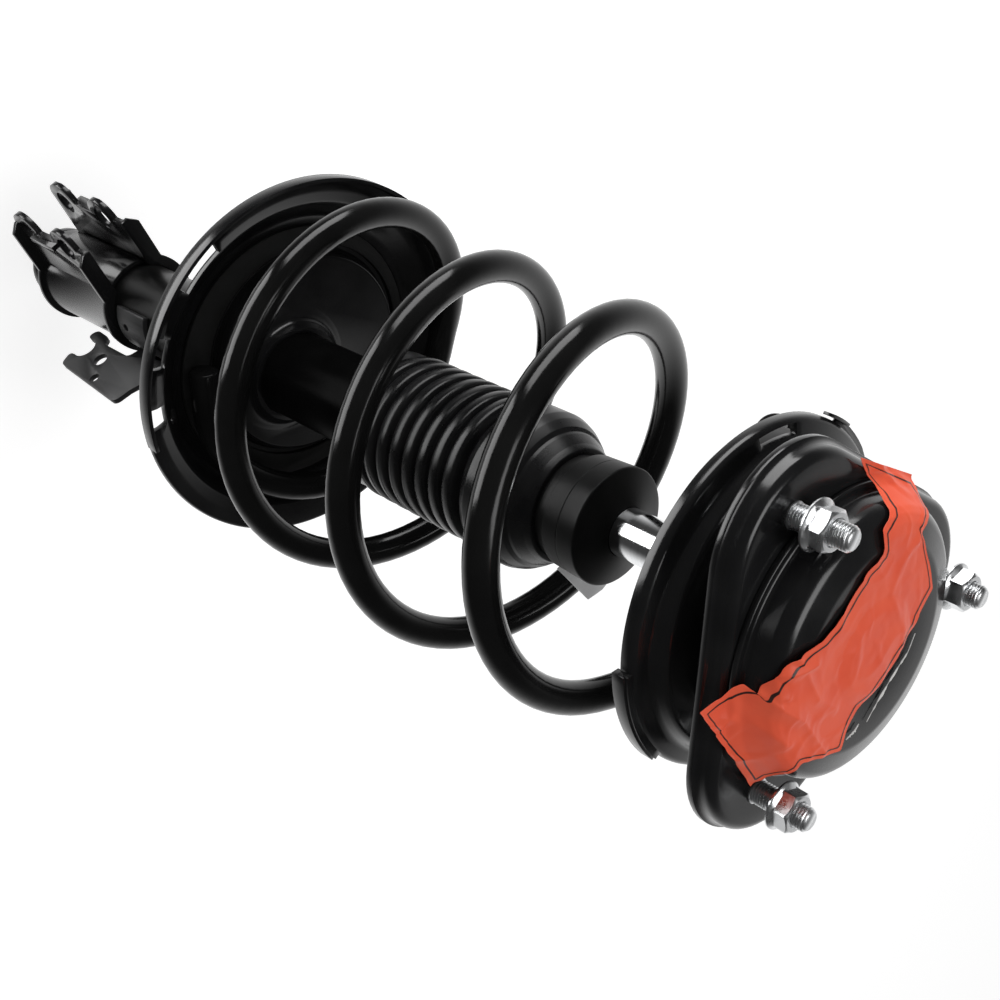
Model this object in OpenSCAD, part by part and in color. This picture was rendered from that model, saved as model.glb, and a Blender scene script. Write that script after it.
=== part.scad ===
// Quick-change suspension strut: top mount, bearing, coil spring, damper and knuckle bracket.
// Frame: +Z runs up the damper axis to the tower studs, +X along the knuckle bolts,
// +Y towards the knuckle. The origin is the centre of the stud circle on the plate's top face.

/* [Top mount] */
// Diameter of the circle through the three studs
stud_pcd = 134; // [130:1:138]
// Diameter of the stud thread
stud_d = 10; // [9:0.5:11]
// Height of the stud tips above the plate
stud_reach = 25; // [23:1:32]
// Height of the lowest nut above the plate
nut_lift = 9; // [7:0.5:10]
// Reach of each plate lobe from the centre
lobe_reach = 85; // [82:1:90]
// Radius of the round end of a plate lobe
lobe_round = 39; // [36:1:42]
// Thickness of the mount plate
plate_t = 3; // [2:0.5:3.5]
// Height of the plate's turned-down skirt
skirt_h = 11; // [9:1:13]
// Radius of the domed cap over the bush
cap_r = 56; // [54:0.5:57]
// Height of the domed cap above the plate
cap_h = 19; // [18.5:0.5:24]
// Thickness of the cap and of the cup under the plate
cup_t = 2.5; // [2:0.5:3]
// Outer radius of the rubber bush
bush_r = 46.5; // [44:0.5:48]

/* [Bearing] */
// Height of the bearing
race_h = 15; // [13:0.5:16]
// Outer radius of the outer race
race_r = 26; // [25:0.5:28]
// Radius of the circle through the ball centres
ball_ring_r = 18.5; // [18:0.25:19]
// Radius of one ball
ball_r = 4.5; // [4:0.25:5]
// Number of balls
ball_count = 9; // [7:1:10]

/* [Upper spring seat] */
// Radius of the upper seat's outer ring
top_seat_r = 73.5; // [72:0.5:76]
// Thickness of the seat sheets
seat_t = 3; // [2:0.5:3.5]
// Radius of the upper insulator
top_pad_r = 64.5; // [62:0.5:65.5]
// Lean of the upper insulator
top_pad_tilt = 6; // [5:0.5:7]

/* [Spring] */
// Radius of the spring wire
wire_r = 7.45; // [6.5:0.05:8]
// Mean radius of the coils at mid height
coil_r = 83.8; // [81:0.1:86]
// Rise of the coils per turn at mid height
coil_pitch = 92.3; // [90:0.1:94]
// Bow of the coil centres to the side
coil_bow = 15.4; // [10:0.1:18]

/* [Damper] */
// Diameter of the piston rod
rod_d = 22; // [20:0.5:24]
// Outer diameter of the strut tube
tube_d = 45; // [44:0.5:46]
// Wall of the strut tube
tube_wall = 2.5; // [2:0.25:3]
// Height of the strut tube's top end, below the plate
tube_top = 235; // [233:1:238]
// Depth of the strut tube's bottom end, below the plate
tube_bottom = 575; // [570:1:590]
// Bore radius of the inner cylinder
bore_r = 15.05; // [14.55:0.25:15.55]

/* [Bump stop and boot] */
// Radius of the bump stop's cap
bump_r = 26; // [25:0.5:28]
// Depth of the bump stop's front face below the plate
bump_front = 104; // [102:1:108]
// Crest radius of the boot's ribs
boot_r = 35.6; // [34.5:0.1:37]
// Wall of the boot
boot_wall = 1.6; // [1.2:0.1:2]
// Distance between the ribs
rib_pitch = 9.2; // [8.5:0.1:9.5]
// Number of ribs
rib_count = 8; // [6:1:9]

/* [Lower spring seat] */
// Radius of the lower seat's rim
low_seat_r = 97.8; // [96:0.1:100]
// Depth of the lower seat's rim below the plate
low_seat_z = 336.9; // [335:0.1:339]
// Lean of the lower seat
low_seat_tilt = 3.6; // [3:0.1:4]
// Depth of the spring's channel below the rim
channel_depth = 16; // [15.5:0.5:18]
// Thickness of the rubber under the spring
low_pad_t = 2.5; // [2:0.5:4]

/* [Knuckle bracket] */
// Gap between the two ears
ear_gap = 25; // [24:0.5:28]
// Thickness of the bracket sheet
ear_t = 3.5; // [3:0.25:4]
// Distance of the knuckle bolts from the damper axis
bolt_y = 47; // [45:0.5:50]
// Depth of the upper knuckle bolt below the plate
bolt_upper = 506; // [504:1:508]
// Depth of the lower knuckle bolt below the plate
bolt_lower = 550; // [548:1:551]
// Diameter of the knuckle bolt holes
bolt_d = 14.5; // [12.5:0.5:16.5]
// Radius of the ear round each bolt hole
ear_round = 13; // [12:0.5:14]
// Depth of the bracket's top edge below the plate
bracket_top = 482; // [480:1:485]
// Height of the bracket
bracket_h = 80; // [79:1:84]
// Width of the turned-out edges of the ears
edge_w = 6; // [4:0.5:7]

/* [Hose bracket] */
// Distance of the hose plate behind the damper axis
hose_y = 15; // [13:0.5:17]
// Thickness of the hose plate
hose_t = 3; // [2:0.5:4]
// Radius of the hose notch
notch_r = 7; // [6:0.5:8]
// Radius of the hose bolt hole
hose_hole_r = 4.5; // [4:0.1:5]

/* [Hidden] */
$fn = 96;
eps = 0.01;

enamel = [0.06, 0.06, 0.065];
rubber = [0.05, 0.05, 0.05];
zinc = [0.75, 0.76, 0.77];
steel = [0.62, 0.63, 0.65];
chrome = [0.8, 0.81, 0.83];

// Running clearance of a shaft in its hole, and the gap between fixed pieces that fit
run_gap = 0.05;
fit_gap = 0.1;

// Top mount
stud_angles = [90, 210, 330];
stud_ring_r = stud_pcd / 2;
stud_r = stud_d / 2;
nut_thread_r = stud_r - 0.2;
stud_shank_r = stud_r + 0.4;
nut_flats = 1.5 * stud_d;
nut_flange_r = stud_d;
nut_lifts = [nut_lift, nut_lift + 2.3, nut_lift + 2.2];
nut_turns = [18, 14, 48];
nut_flange_h = 2;
nut_h = 8.5;
stud_head_r = 7.5;
stud_head_h = 3.5;
skirt_lip = 2;
bush_hole_r = bush_r + 0.5;
cap_flange_r = cap_r + 4;
cap_corner = 8;
dust_hole_r = 16;
base_flange_r = stud_ring_r - stud_head_r - 1.5;
cup_wall_r = bush_r + 3.5;
cup_hole_r = race_r + 1;

// Bearing, set between the hub of the upper seat and the washer under the nut
race_top = -1;
race_bottom = race_top - race_h;
ball_z = race_top - race_h / 2;
inner_race_r = ball_ring_r - 1.9;
outer_race_bore_r = ball_ring_r + 1.9;
groove_r = ball_r + run_gap;
cage_wall = 2.6;
cage_h = 2 * ball_r + 3;
cup_floor = race_bottom;

// Rod
rod_r = rod_d / 2;
neck_r = 7;
rod_shoulder = race_bottom - seat_t;
washer_r = 14;
washer_t = 2.5;
top_nut_h = 10;
top_nut_flats = 22;
top_nut_bottom = race_top + washer_t;
rod_top = top_nut_bottom + top_nut_h + 2.5;

// Upper seat and its rubber insulator
top_step_r = top_seat_r - 9.5;
top_floor = race_bottom - 9;
top_ring = race_bottom - 17;
top_edge = top_ring - 5.5;
top_pad_z = -47;
top_pad_half = 5.5;
top_pad_bore = top_pad_r - 10.5;
top_pad_lean = -45;

// Damper, worked down from the top of the tube
tube_r = tube_d / 2;
tube_bore = tube_r - tube_wall;
gland_t = 6;
seal_t = 8;
guide_t = 12;
guide_spigot = 8;
gland_bottom = -tube_top - 1 - gland_t;
seal_bottom = gland_bottom - seal_t;
guide_bottom = seal_bottom - guide_t;
spigot_bottom = guide_bottom - guide_spigot;
cylinder_wall = 1.5;
cylinder_bottom = -tube_bottom + 15;
stop_gap = 0.3;
stop_h = 8;
stop_top = spigot_bottom - stop_gap;
stop_r = 14;
piston_top = stop_top - stop_h;
piston_h = 14;
piston_neck_r = 6;
piston_r = bore_r - 0.45;
band_h = 9;
piston_nut_h = 10;
base_cup_t = 8;

// Bump stop and boot
bump_top = -bump_front;
bump_cap_h = 24;
bump_round = 1.8;
bump_crown = 5.2;
bump_flare = 0.9;
bump_neck_r = bump_r - 2;
bump_bottom = bump_top - 71;
boot_top = bump_top - 29;
boot_grip_r = bump_neck_r + fit_gap;
boot_ring_r = boot_r - 4;
collar_r = boot_r + 1.2;
collar_top = boot_top - 22;
collar_bottom = collar_top - 14;
first_rib = collar_bottom - 10;
rib_depth = 4.6;
boot_bottom = first_rib - rib_count * rib_pitch;
tag_turn = -98;
tag_w = 18;
tag_reach = 52;
tag_t = 0.6;

// Lower seat, leaning about its own centre
low_centre = [11, -1.8];
low_lean = 213;
shelf_r = low_seat_r - 7.3;
shelf_drop = 3.5;
dish_r = low_seat_r - 13.8;
dish_drop = 6;
channel_r = low_seat_r - 24;
island_r = channel_r - 18;
island_shift = [4.5, -2];
island_drop = 8;
low_coil_r = channel_r - 12.8;
neck_h = 9.4;
neck_round = 9;
lip_from = 20;
lip_to = 166;
low_floor = -channel_depth;

// Bracket
ear_in = ear_gap / 2;
ear_out = ear_in + ear_t;
wrap_r = tube_r + ear_t;
bracket_bottom = bracket_top + bracket_h;
edge_t = 3;
edge_reach = [bolt_y + 3, bolt_y + 5];
edge_nip = 5;
waist_y = bolt_y + 2;
saddle_t = 3;

// Spring, counted in turns from its datum
coil_mid = -229.9;
coil_from = 0.445;
coil_to = 4.04;
coil_datum = -2.95;
rings_per_turn = 24;
wire_sides = 6;
pad_touch = 0.3;

function polar(r, a) = [r * cos(a), r * sin(a)];
function unit(v) = v / norm(v);
function mix(a, b, s) = a + (b - a) * s;
function smooth(t) = let (s = min(1, max(0, t))) s * s * (3 - 2 * s);
function side(a, b) = let (d = unit(b - a)) [-d[1], d[0]];

// Arc that rounds the corner b of the path a, b, c
function corner(a, b, c, r, n) =
    let (u = unit(a - b), v = unit(c - b), half = acos(u * v) / 2,
         room = 0.45 * min(norm(a - b), norm(c - b)), turn_r = min(r, room * tan(half)),
         middle = b + unit(u + v) * turn_r / sin(half),
         start = b + u * turn_r / tan(half) - middle, stop = b + v * turn_r / tan(half) - middle,
         from = atan2(start[1], start[0]), raw = atan2(stop[1], stop[0]) - from,
         sweep = raw > 180 ? raw - 360 : raw < -180 ? raw + 360 : raw)
    [for (k = [0:n]) middle + polar(turn_r, from + sweep * k / n)];

// Path with each inner corner rounded
function rounded(path, r, n = 4) = [
    path[0],
    for (i = [1:len(path) - 2]) each corner(path[i - 1], path[i], path[i + 1], r, n),
    path[len(path) - 1]];

// Path moved to its left by t
function beside(path, t) = [
    for (i = [0:len(path) - 1])
        let (last = len(path) - 1,
             before = side(path[max(i - 1, 0)], path[max(i, 1)]),
             after = side(path[min(i, last - 1)], path[min(i + 1, last)]))
        path[i] + t * (before + after) / (1 + before * after)];

// Closed outline of a sheet of thickness t on the left of a path, with both faces rounded by r
function sheet(path, t, r = 0) =
    let (front = r > 0 ? rounded(path, r) : path,
         back = r > 0 ? rounded(beside(path, t), r) : beside(path, t))
    concat(front, [for (i = [len(back) - 1:-1:0]) back[i]]);

// Tilts its children by an angle so that their axis leans towards a direction
module lean(tilt, towards) {
    rotate(a = tilt, v = [-sin(towards), cos(towards), 0]) children();
}

module ring(r_out, r_in, z_low, z_high) {
    translate([0, 0, z_low])
        difference() {
            cylinder(r = r_out, h = z_high - z_low);
            translate([0, 0, -1])
                cylinder(r = r_in, h = z_high - z_low + 2);
        }
}

// Part of a ring between two directions
module sector(r_out, r_in, z_low, z_high, from, to) {
    rotate([0, 0, from])
        rotate_extrude(angle = to - from)
            translate([r_in, z_low])
                square([r_out - r_in, z_high - z_low]);
}

module hexagon(flats, h) {
    cylinder(r = flats / sqrt(3), h = h, $fn = 6);
}

// Three-lobed outline of the mount plate, with each arc drawn in short steps
module three_lobes(reach, round_r) {
    steps = 12;
    polygon([for (a = stud_angles, k = [-steps:steps])
        polar(reach - round_r, a) + polar(round_r, a + 60 * k / steps)]);
}

module mount_plate() {
    color(enamel)
    difference() {
        union() {
            translate([0, 0, -skirt_h]) linear_extrude(skirt_h) three_lobes(lobe_reach - skirt_lip, lobe_round);
            translate([0, 0, -skirt_h]) linear_extrude(plate_t) three_lobes(lobe_reach, lobe_round + skirt_lip);
        }
        translate([0, 0, -skirt_h - 1]) linear_extrude(skirt_h + 1 - plate_t)
            three_lobes(lobe_reach - skirt_lip - plate_t, lobe_round - plate_t);
        translate([0, 0, -plate_t - 1]) cylinder(r = bush_hole_r, h = plate_t + 2);
        for (a = stud_angles)
            translate(concat(polar(stud_ring_r, a), -plate_t - 1)) cylinder(r = stud_shank_r, h = plate_t + 2);
    }
}

module mount_cap() {
    profile = [[cap_flange_r, 0], [cap_r - cup_t, 0], [cap_r - cup_t, cap_h - cup_t - 3],
        [cap_r - cap_corner - 6, cap_h - cup_t], [dust_hole_r, cap_h - cup_t]];
    color(enamel) rotate_extrude() polygon(sheet(profile, -cup_t, cap_corner));
}

module dust_cap() {
    top = cap_h;
    color(rubber) rotate_extrude() polygon([[0, top - 1.5], [dust_hole_r - 3, top - 1.5],
        [dust_hole_r - 3, top - 4], [dust_hole_r - fit_gap, top - 4], [dust_hole_r - fit_gap, top],
        [dust_hole_r + 2.5, top], [dust_hole_r + 2.5, top + 0.8], [dust_hole_r, top + 1.8], [0, top + 1.8]]);
}

module mount_base() {
    profile = [[base_flange_r, -plate_t], [cup_wall_r, -plate_t], [cup_wall_r - 1.5, cup_floor],
        [cup_hole_r, cup_floor]];
    color(enamel) rotate_extrude() polygon(sheet(profile, cup_t, 3));
}

module rubber_bush() {
    top = min(8, cap_h - cup_t - 6);
    color(rubber) rotate_extrude() polygon([[race_r, cup_floor], [bush_r - 2, cup_floor],
        [bush_r, cup_floor + 3], [bush_r, top - 3], [bush_r - 3, top], [race_r + 6, top],
        [race_r, race_top]]);
}

module bearing_outer_race() {
    color(steel) rotate_extrude() difference() {
        translate([outer_race_bore_r, race_bottom]) square([race_r - outer_race_bore_r, race_h]);
        translate([ball_ring_r, ball_z]) circle(r = groove_r);
    }
}

module bearing_inner_race() {
    color(steel) rotate_extrude() difference() {
        translate([neck_r, race_bottom]) square([inner_race_r - neck_r, race_h]);
        translate([ball_ring_r, ball_z]) circle(r = groove_r);
    }
}

module bearing_balls() {
    color(chrome) for (i = [0:ball_count - 1])
        translate(concat(polar(ball_ring_r, i * 360 / ball_count), ball_z)) sphere(r = ball_r);
}

module bearing_cage() {
    color("goldenrod") difference() {
        ring(ball_ring_r + cage_wall / 2, ball_ring_r - cage_wall / 2, ball_z - cage_h / 2, ball_z + cage_h / 2);
        for (i = [0:ball_count - 1])
            rotate([0, 0, i * 360 / ball_count]) translate([ball_ring_r - cage_wall, 0, ball_z])
                rotate([0, 90, 0]) cylinder(r = groove_r, h = 2 * cage_wall);
    }
}

// A knurled shank in the plate, the full thread up to the nut, and a finer thread from there on
module mount_studs() {
    color(zinc) for (i = [0:2]) translate(concat(polar(stud_ring_r, stud_angles[i]), 0)) {
        translate([0, 0, -plate_t - stud_head_h]) cylinder(r = stud_head_r, h = stud_head_h);
        translate([0, 0, -plate_t]) cylinder(r = stud_shank_r, h = plate_t);
        cylinder(r = stud_r, h = nut_lifts[i]);
        translate([0, 0, nut_lifts[i]]) cylinder(r = nut_thread_r, h = stud_reach - nut_lifts[i] - 1);
        translate([0, 0, stud_reach - 1]) cylinder(r1 = nut_thread_r, r2 = nut_thread_r - 0.8, h = 1);
    }
}

module flange_nuts() {
    color(zinc) for (i = [0:2]) translate(concat(polar(stud_ring_r, stud_angles[i]), nut_lifts[i])) difference() {
        union() {
            cylinder(r = nut_flange_r, h = nut_flange_h);
            intersection() {
                rotate([0, 0, nut_turns[i]]) hexagon(nut_flats, nut_h);
                cylinder(r1 = nut_flats / 2 + nut_h, r2 = nut_flats / 2, h = nut_h);
            }
        }
        translate([0, 0, -1]) cylinder(r = nut_thread_r + run_gap, h = nut_h + 2);
    }
}

// Printed label, left blank, that lies over the cap
module label() {
    gap = 0.3;
    shell = [[cap_r + gap + 3, cup_t + gap], [cap_r + gap, cup_t + gap], [cap_r + gap, cap_h - 3 + gap],
        [cap_r - cap_corner - 6, cap_h + gap], [dust_hole_r + 6, cap_h + gap], [dust_hole_r + 2, cap_h + 2],
        [0, cap_h + 2]];
    color([0.92, 0.36, 0.24]) intersection() {
        rotate_extrude() polygon(sheet(shell, -0.6, cap_corner));
        translate([0, 0, -1]) linear_extrude(cap_h + 5)
            polygon([[-70, -22], [-18, -34], [30, -22], [58, 8], [40, 58], [20, 52], [12, 30], [-22, 26], [-70, 24]]);
    }
}

module piston_rod() {
    color(chrome) rotate_extrude() polygon([[0, piston_top - piston_h - piston_nut_h - 2],
        [piston_neck_r - 1, piston_top - piston_h - piston_nut_h - 2],
        [piston_neck_r, piston_top - piston_h - piston_nut_h - 1], [piston_neck_r, piston_top],
        [rod_r, piston_top], [rod_r, rod_shoulder - 1], [rod_r - 1, rod_shoulder], [neck_r, rod_shoulder],
        [neck_r, rod_top - 1], [neck_r - 1, rod_top], [0, rod_top]]);
}

module top_washer() {
    color(zinc) ring(washer_r, neck_r, race_top, race_top + washer_t);
}

module top_nut() {
    color(zinc) translate([0, 0, top_nut_bottom]) difference() {
        intersection() {
            hexagon(top_nut_flats, top_nut_h);
            cylinder(r1 = top_nut_flats / 2 + top_nut_h, r2 = top_nut_flats / 2, h = top_nut_h);
        }
        translate([0, 0, -1]) cylinder(r = neck_r + run_gap, h = top_nut_h + 2);
    }
}

// Top face of the upper seat, from the rim to the hub
top_seat_path = [[top_seat_r, top_edge], [top_seat_r, top_ring], [top_step_r + 1.5, top_ring + 2],
    [top_step_r - 1.5, top_floor], [cup_hole_r - 2, race_bottom - 6], [inner_race_r + 1, race_bottom],
    [neck_r, race_bottom]];

module upper_spring_seat() {
    color(enamel) {
        difference() {
            rotate_extrude() polygon(sheet(top_seat_path, seat_t, 4));
            for (a = [62, 302])
                translate([0, 0, top_ring - 6]) sector(top_seat_r - 2, top_step_r + 3, 0, 12, a - 9, a + 9);
        }
        sector(top_seat_r + 3, top_seat_r - 0.5, top_edge - 1.5, top_ring - 1.2, 156, 194);
        sector(top_seat_r + 2, top_seat_r - 5, top_ring - 1.5, top_ring - 0.1, 156, 194);
        translate([0, 0, top_ring - 3]) linear_extrude(1.5)
            polygon(concat([for (a = [-12:4:30]) polar(top_seat_r + 2.2 * min(1, (a + 12) / 20), a)],
                [for (a = [30:-4:-12]) polar(top_seat_r - 1, a)]));
        sector(top_seat_r + 2.2, top_seat_r + 0.9, top_ring - 2.8, top_ring + 1, 24, 36);
    }
}

module upper_insulator() {
    under_seat = rounded(beside(top_seat_path, seat_t + fit_gap), 4);
    pad = rounded([[top_pad_bore, -top_pad_half], [top_pad_r, -top_pad_half], [top_pad_r, 6],
        [top_pad_r - 2, 30], [top_pad_bore, 30]], 6);
    color(rubber) difference() {
        translate([0, 0, top_pad_z]) lean(top_pad_tilt, top_pad_lean) rotate_extrude() polygon(pad);
        rotate_extrude() polygon(concat(under_seat, [[0, 20], [top_seat_r + 20, 20], [top_seat_r + 20, top_edge]]));
    }
}

module piston() {
    groove = (piston_h - band_h) / 2;
    color(steel) difference() {
        ring(piston_r, piston_neck_r, piston_top - piston_h, piston_top);
        ring(piston_r + 1, piston_r - 1.2, piston_top - piston_h + groove, piston_top - groove);
    }
}

module piston_band() {
    groove = (piston_h - band_h) / 2;
    color("dimgray") ring(bore_r - run_gap, piston_r - 1.2, piston_top - piston_h + groove, piston_top - groove);
}

module piston_nut() {
    color(zinc) translate([0, 0, piston_top - piston_h - piston_nut_h]) difference() {
        hexagon(19, piston_nut_h);
        translate([0, 0, -1]) cylinder(r = piston_neck_r + run_gap, h = piston_nut_h + 2);
    }
}

module rebound_stop() {
    color(rubber) ring(stop_r, rod_r, stop_top - stop_h, stop_top);
}

module bump_stop() {
    cap_bottom = bump_top - bump_cap_h;
    cap = rounded([[rod_r + 1.2, bump_top], [bump_r + bump_flare, bump_top - bump_crown], [bump_r, cap_bottom]],
        bump_round, 6);
    color(rubber) rotate_extrude() polygon(concat(cap, [[bump_neck_r + 0.5, cap_bottom],
        [bump_neck_r, cap_bottom - 1], [bump_neck_r, boot_top - 5], [bump_neck_r - 3, boot_top - 8],
        [bump_neck_r - 3, boot_top - 13], [bump_neck_r - 6, boot_top - 17], [bump_neck_r - 3, boot_top - 21],
        [bump_neck_r - 3, boot_top - 24], [bump_neck_r - 6, boot_top - 28], [bump_neck_r - 8, bump_bottom],
        [rod_r + run_gap, bump_bottom], [rod_r + run_gap, bump_top - 1.2]]));
}

// Outer face of the boot, from its top down
boot_path = concat(
    rounded([[boot_grip_r, boot_top], [bump_r + 1, boot_top], [boot_ring_r - 2.5, boot_top - 4.5],
        [boot_ring_r, boot_top - 9], [collar_r - 1, boot_top - 16], [collar_r, collar_top],
        [collar_r, collar_bottom], [boot_r - rib_depth, collar_bottom - 4]], 1.5, 3),
    [for (i = [0:rib_count - 1]) each let (z = first_rib - i * rib_pitch) [
        [boot_r - rib_depth, z + rib_pitch / 2 - 0.6], [boot_r, z + 1.3], [boot_r, z - 1.3],
        [boot_r - rib_depth, z - rib_pitch / 2 + 0.6]]],
    [[boot_r - 1, boot_bottom - 2], [boot_r - 1, boot_bottom - 6]]);

module dust_boot() {
    color(rubber) rotate_extrude() polygon(sheet(boot_path, -boot_wall));
}

module foil_tag() {
    color([0.85, 0.86, 0.87]) rotate([0, 0, tag_turn])
        translate([bump_neck_r + fit_gap, -tag_w / 2, bump_top - bump_cap_h - 4.5])
            cube([tag_reach - bump_neck_r, tag_w, tag_t]);
}

module strut_tube() {
    color(enamel) ring(tube_r, tube_bore, -tube_bottom, -tube_top);
}

module base_cup() {
    outer = rounded([[0, -tube_bottom - base_cup_t], [tube_r, -tube_bottom - base_cup_t],
        [tube_r, -tube_bottom]], 3, 6);
    color(enamel) rotate_extrude() polygon(concat(outer, [[tube_bore - fit_gap, -tube_bottom],
        [tube_bore - fit_gap, -tube_bottom + 3], [0, -tube_bottom + 3]]));
}

module inner_cylinder() {
    color(steel) ring(bore_r + cylinder_wall, bore_r, cylinder_bottom, guide_bottom);
}

module foot_valve() {
    color(steel) {
        ring(tube_bore - fit_gap, 3, -tube_bottom + 3, cylinder_bottom);
        ring(bore_r - run_gap, 3, cylinder_bottom, cylinder_bottom + 8);
    }
}

module rod_guide() {
    color(steel) {
        ring(tube_bore - fit_gap, rod_r + run_gap, guide_bottom, seal_bottom);
        ring(bore_r - run_gap, rod_r + run_gap, spigot_bottom, guide_bottom);
    }
}

module rod_seal() {
    color(rubber) ring(tube_bore - fit_gap, rod_r + run_gap, seal_bottom, gland_bottom);
}

module gland_cap() {
    color(zinc) ring(tube_bore - fit_gap, rod_r + 1, gland_bottom, gland_bottom + gland_t);
}

// Upper face of the lower seat, from the rim to the tube, about the seat's own centre
low_seat_path = [[low_seat_r, -6], [low_seat_r - 0.6, -shelf_drop + 0.5], [shelf_r, -shelf_drop],
    [dish_r, -dish_drop], [channel_r, low_floor], [island_r - 8, low_floor]];

// Upper face of the island in the middle, from its foot inwards, about its own centre
island_path = [[island_r + 3, low_floor - 0.5], [island_r + 0.5, low_floor - 0.5],
    [island_r - 2, -island_drop], [10, -island_drop]];

// Outline of the rolled neck round the tube, above the island
neck_outline = concat([[10, -island_drop - 1], [10, -island_drop + neck_h]],
    [for (a = [0:15:90]) [tube_r + seat_t + neck_round, -island_drop + neck_h] - polar(neck_round, a)],
    [[tube_r + seat_t + neck_round, -island_drop - 1]]);

module in_low_seat() {
    translate([low_centre[0], low_centre[1], -low_seat_z]) lean(low_seat_tilt, low_lean) children();
}

module lower_spring_seat() {
    collar_h = 24;
    collar_top = -low_seat_z - island_drop - 0.6;
    color(enamel) difference() {
        union() {
            in_low_seat() {
                difference() {
                    rotate_extrude() polygon(sheet(low_seat_path, seat_t, 7));
                    for (window = [[98, 115], [131, 141], [154, 161]])
                        sector(low_seat_r - 3.3, dish_r + 1.5, -12, 2, window[0], window[1]);
                    rotate([0, 0, 162]) translate([(dish_r + channel_r) / 2, 0, (low_floor - dish_drop) / 2])
                        rotate([0, 135, 0]) cylinder(r = 4, h = 14, center = true);
                    translate([island_shift[0], island_shift[1], low_floor - seat_t - 1])
                        cylinder(r = island_r + 1, h = seat_t + 2);
                }
                translate(island_shift) rotate_extrude() polygon(sheet(island_path, seat_t - 1, 2.5));
                translate(-low_centre) rotate_extrude() polygon(neck_outline);
                sector(low_seat_r + 0.6, low_seat_r - 1.4, -6, 2, lip_from, lip_to);
            }
            translate([0, 0, collar_top - collar_h]) cylinder(r = tube_r + seat_t, h = collar_h);
        }
        translate([0, 0, -tube_bottom]) cylinder(r = tube_r + fit_gap, h = tube_bottom - tube_top);
    }
}

module lower_insulator() {
    color(rubber) in_low_seat() difference() {
        translate([0, 0, low_floor + fit_gap]) cylinder(r = channel_r - 4, h = low_pad_t - fit_gap);
        translate([island_shift[0], island_shift[1], low_floor]) cylinder(r = island_r + 3.2, h = low_pad_t + 1);
    }
}

// Plan of the bracket: a band round the back of the tube with an ear at each side, whose ends are nipped off
module bracket_plan(band_r, ear_x, reach, nip) {
    difference() {
        union() {
            circle(r = band_r);
            polygon([[-ear_x, 0], [-ear_x, reach - nip], [-ear_x + nip, reach], [ear_x - nip, reach],
                [ear_x, reach - nip], [ear_x, 0]]);
        }
        circle(r = tube_r + fit_gap);
        translate([-ear_in, 0]) square([ear_gap, reach + 1]);
    }
}

// Side outline of the ears, along X: a waist with a round lobe at each bolt
module ear_side() {
    translate([-wrap_r - edge_w, -bracket_bottom]) square([wrap_r + edge_w + waist_y, bracket_h]);
    for (z = [bolt_upper, bolt_lower])
        translate([bolt_y, -z]) circle(r = ear_round);
}

// Turns a plan drawn in Y and Z into a bar along X
module along_x(width) {
    rotate([90, 0, 90]) translate([0, 0, -width / 2]) linear_extrude(width) children();
}

module bolt_holes(r) {
    for (z = [bolt_upper, bolt_lower])
        translate([-60, bolt_y, -z]) rotate([0, 90, 0]) cylinder(r = r, h = 120);
}

module knuckle_bracket() {
    color(enamel) difference() {
        union() {
            intersection() {
                translate([0, 0, -bracket_bottom]) linear_extrude(bracket_h)
                    bracket_plan(wrap_r, ear_out, bolt_y + ear_round, 0.5);
                along_x(4 * wrap_r) ear_side();
            }
            translate([0, 0, -bracket_top - edge_t]) linear_extrude(edge_t)
                bracket_plan(wrap_r + 3, ear_out + edge_w, edge_reach[0], edge_nip);
            translate([0, 0, -bracket_bottom]) linear_extrude(edge_t)
                bracket_plan(wrap_r + 3, ear_out + edge_w, edge_reach[1], edge_nip);
            translate([0, 0, -bolt_lower + 9]) linear_extrude(bolt_lower - bolt_upper - 18) difference() {
                translate([-ear_out - edge_w + 2, waist_y - edge_t]) square([2 * (ear_out + edge_w - 2), edge_t]);
                translate([-ear_in, 0]) square([ear_gap, waist_y + 1]);
            }
        }
        bolt_holes(bolt_d / 2);
    }
}

// Saddle that closes the bracket round the front of the tube, between the ears
module bracket_reinforcement() {
    half = ear_in - fit_gap;
    bore = tube_r + fit_gap;
    color(enamel) translate([0, 0, -bracket_bottom + 3]) linear_extrude(bracket_h - 7) difference() {
        intersection() {
            circle(r = bore + saddle_t);
            translate([-half, 0]) square([2 * half, bore + saddle_t + 1]);
        }
        circle(r = bore);
    }
}

// Strap welded to the tube, with a plate that holds the brake hose
module hose_bracket() {
    strap_low = -475;
    strap_high = -447;
    notch_x = -38;
    notch_z = -517;
    plate = [[-19, strap_high], [-37, strap_high], [-48, -452], [-58.6, -454], [-54, -521], [-45, -524],
        [notch_x - notch_r, notch_z], [notch_x + notch_r, notch_z], [-31, -524], [-24, -522], [-25, -508],
        [-30, -506], [-30, -479], [-19, strap_low]];
    color(enamel) difference() {
        union() {
            difference() {
                sector(tube_r + fit_gap + hose_t, tube_r + fit_gap, strap_low, strap_high, 138, 216);
                rotate([0, 0, 163]) translate([0, 0, -467]) rotate([0, 90, 0]) cylinder(r = 2.2, h = 60);
            }
            translate([0, -hose_y, 0]) rotate([90, 0, 0]) linear_extrude(hose_t) polygon(rounded(plate, 4, 5));
        }
        translate([notch_x, 0, notch_z]) rotate([90, 0, 0]) cylinder(r = notch_r, h = 60);
        translate([-40, 0, -496]) rotate([90, 0, 0]) cylinder(r = hose_hole_r, h = 60);
        translate([-51.8, 0, -485.6]) rotate([90, 0, 0]) cylinder(r = 3, h = 60);
        translate([0, 0, -tube_bottom]) cylinder(r = tube_r + fit_gap, h = tube_bottom - tube_top);
    }
}

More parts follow.
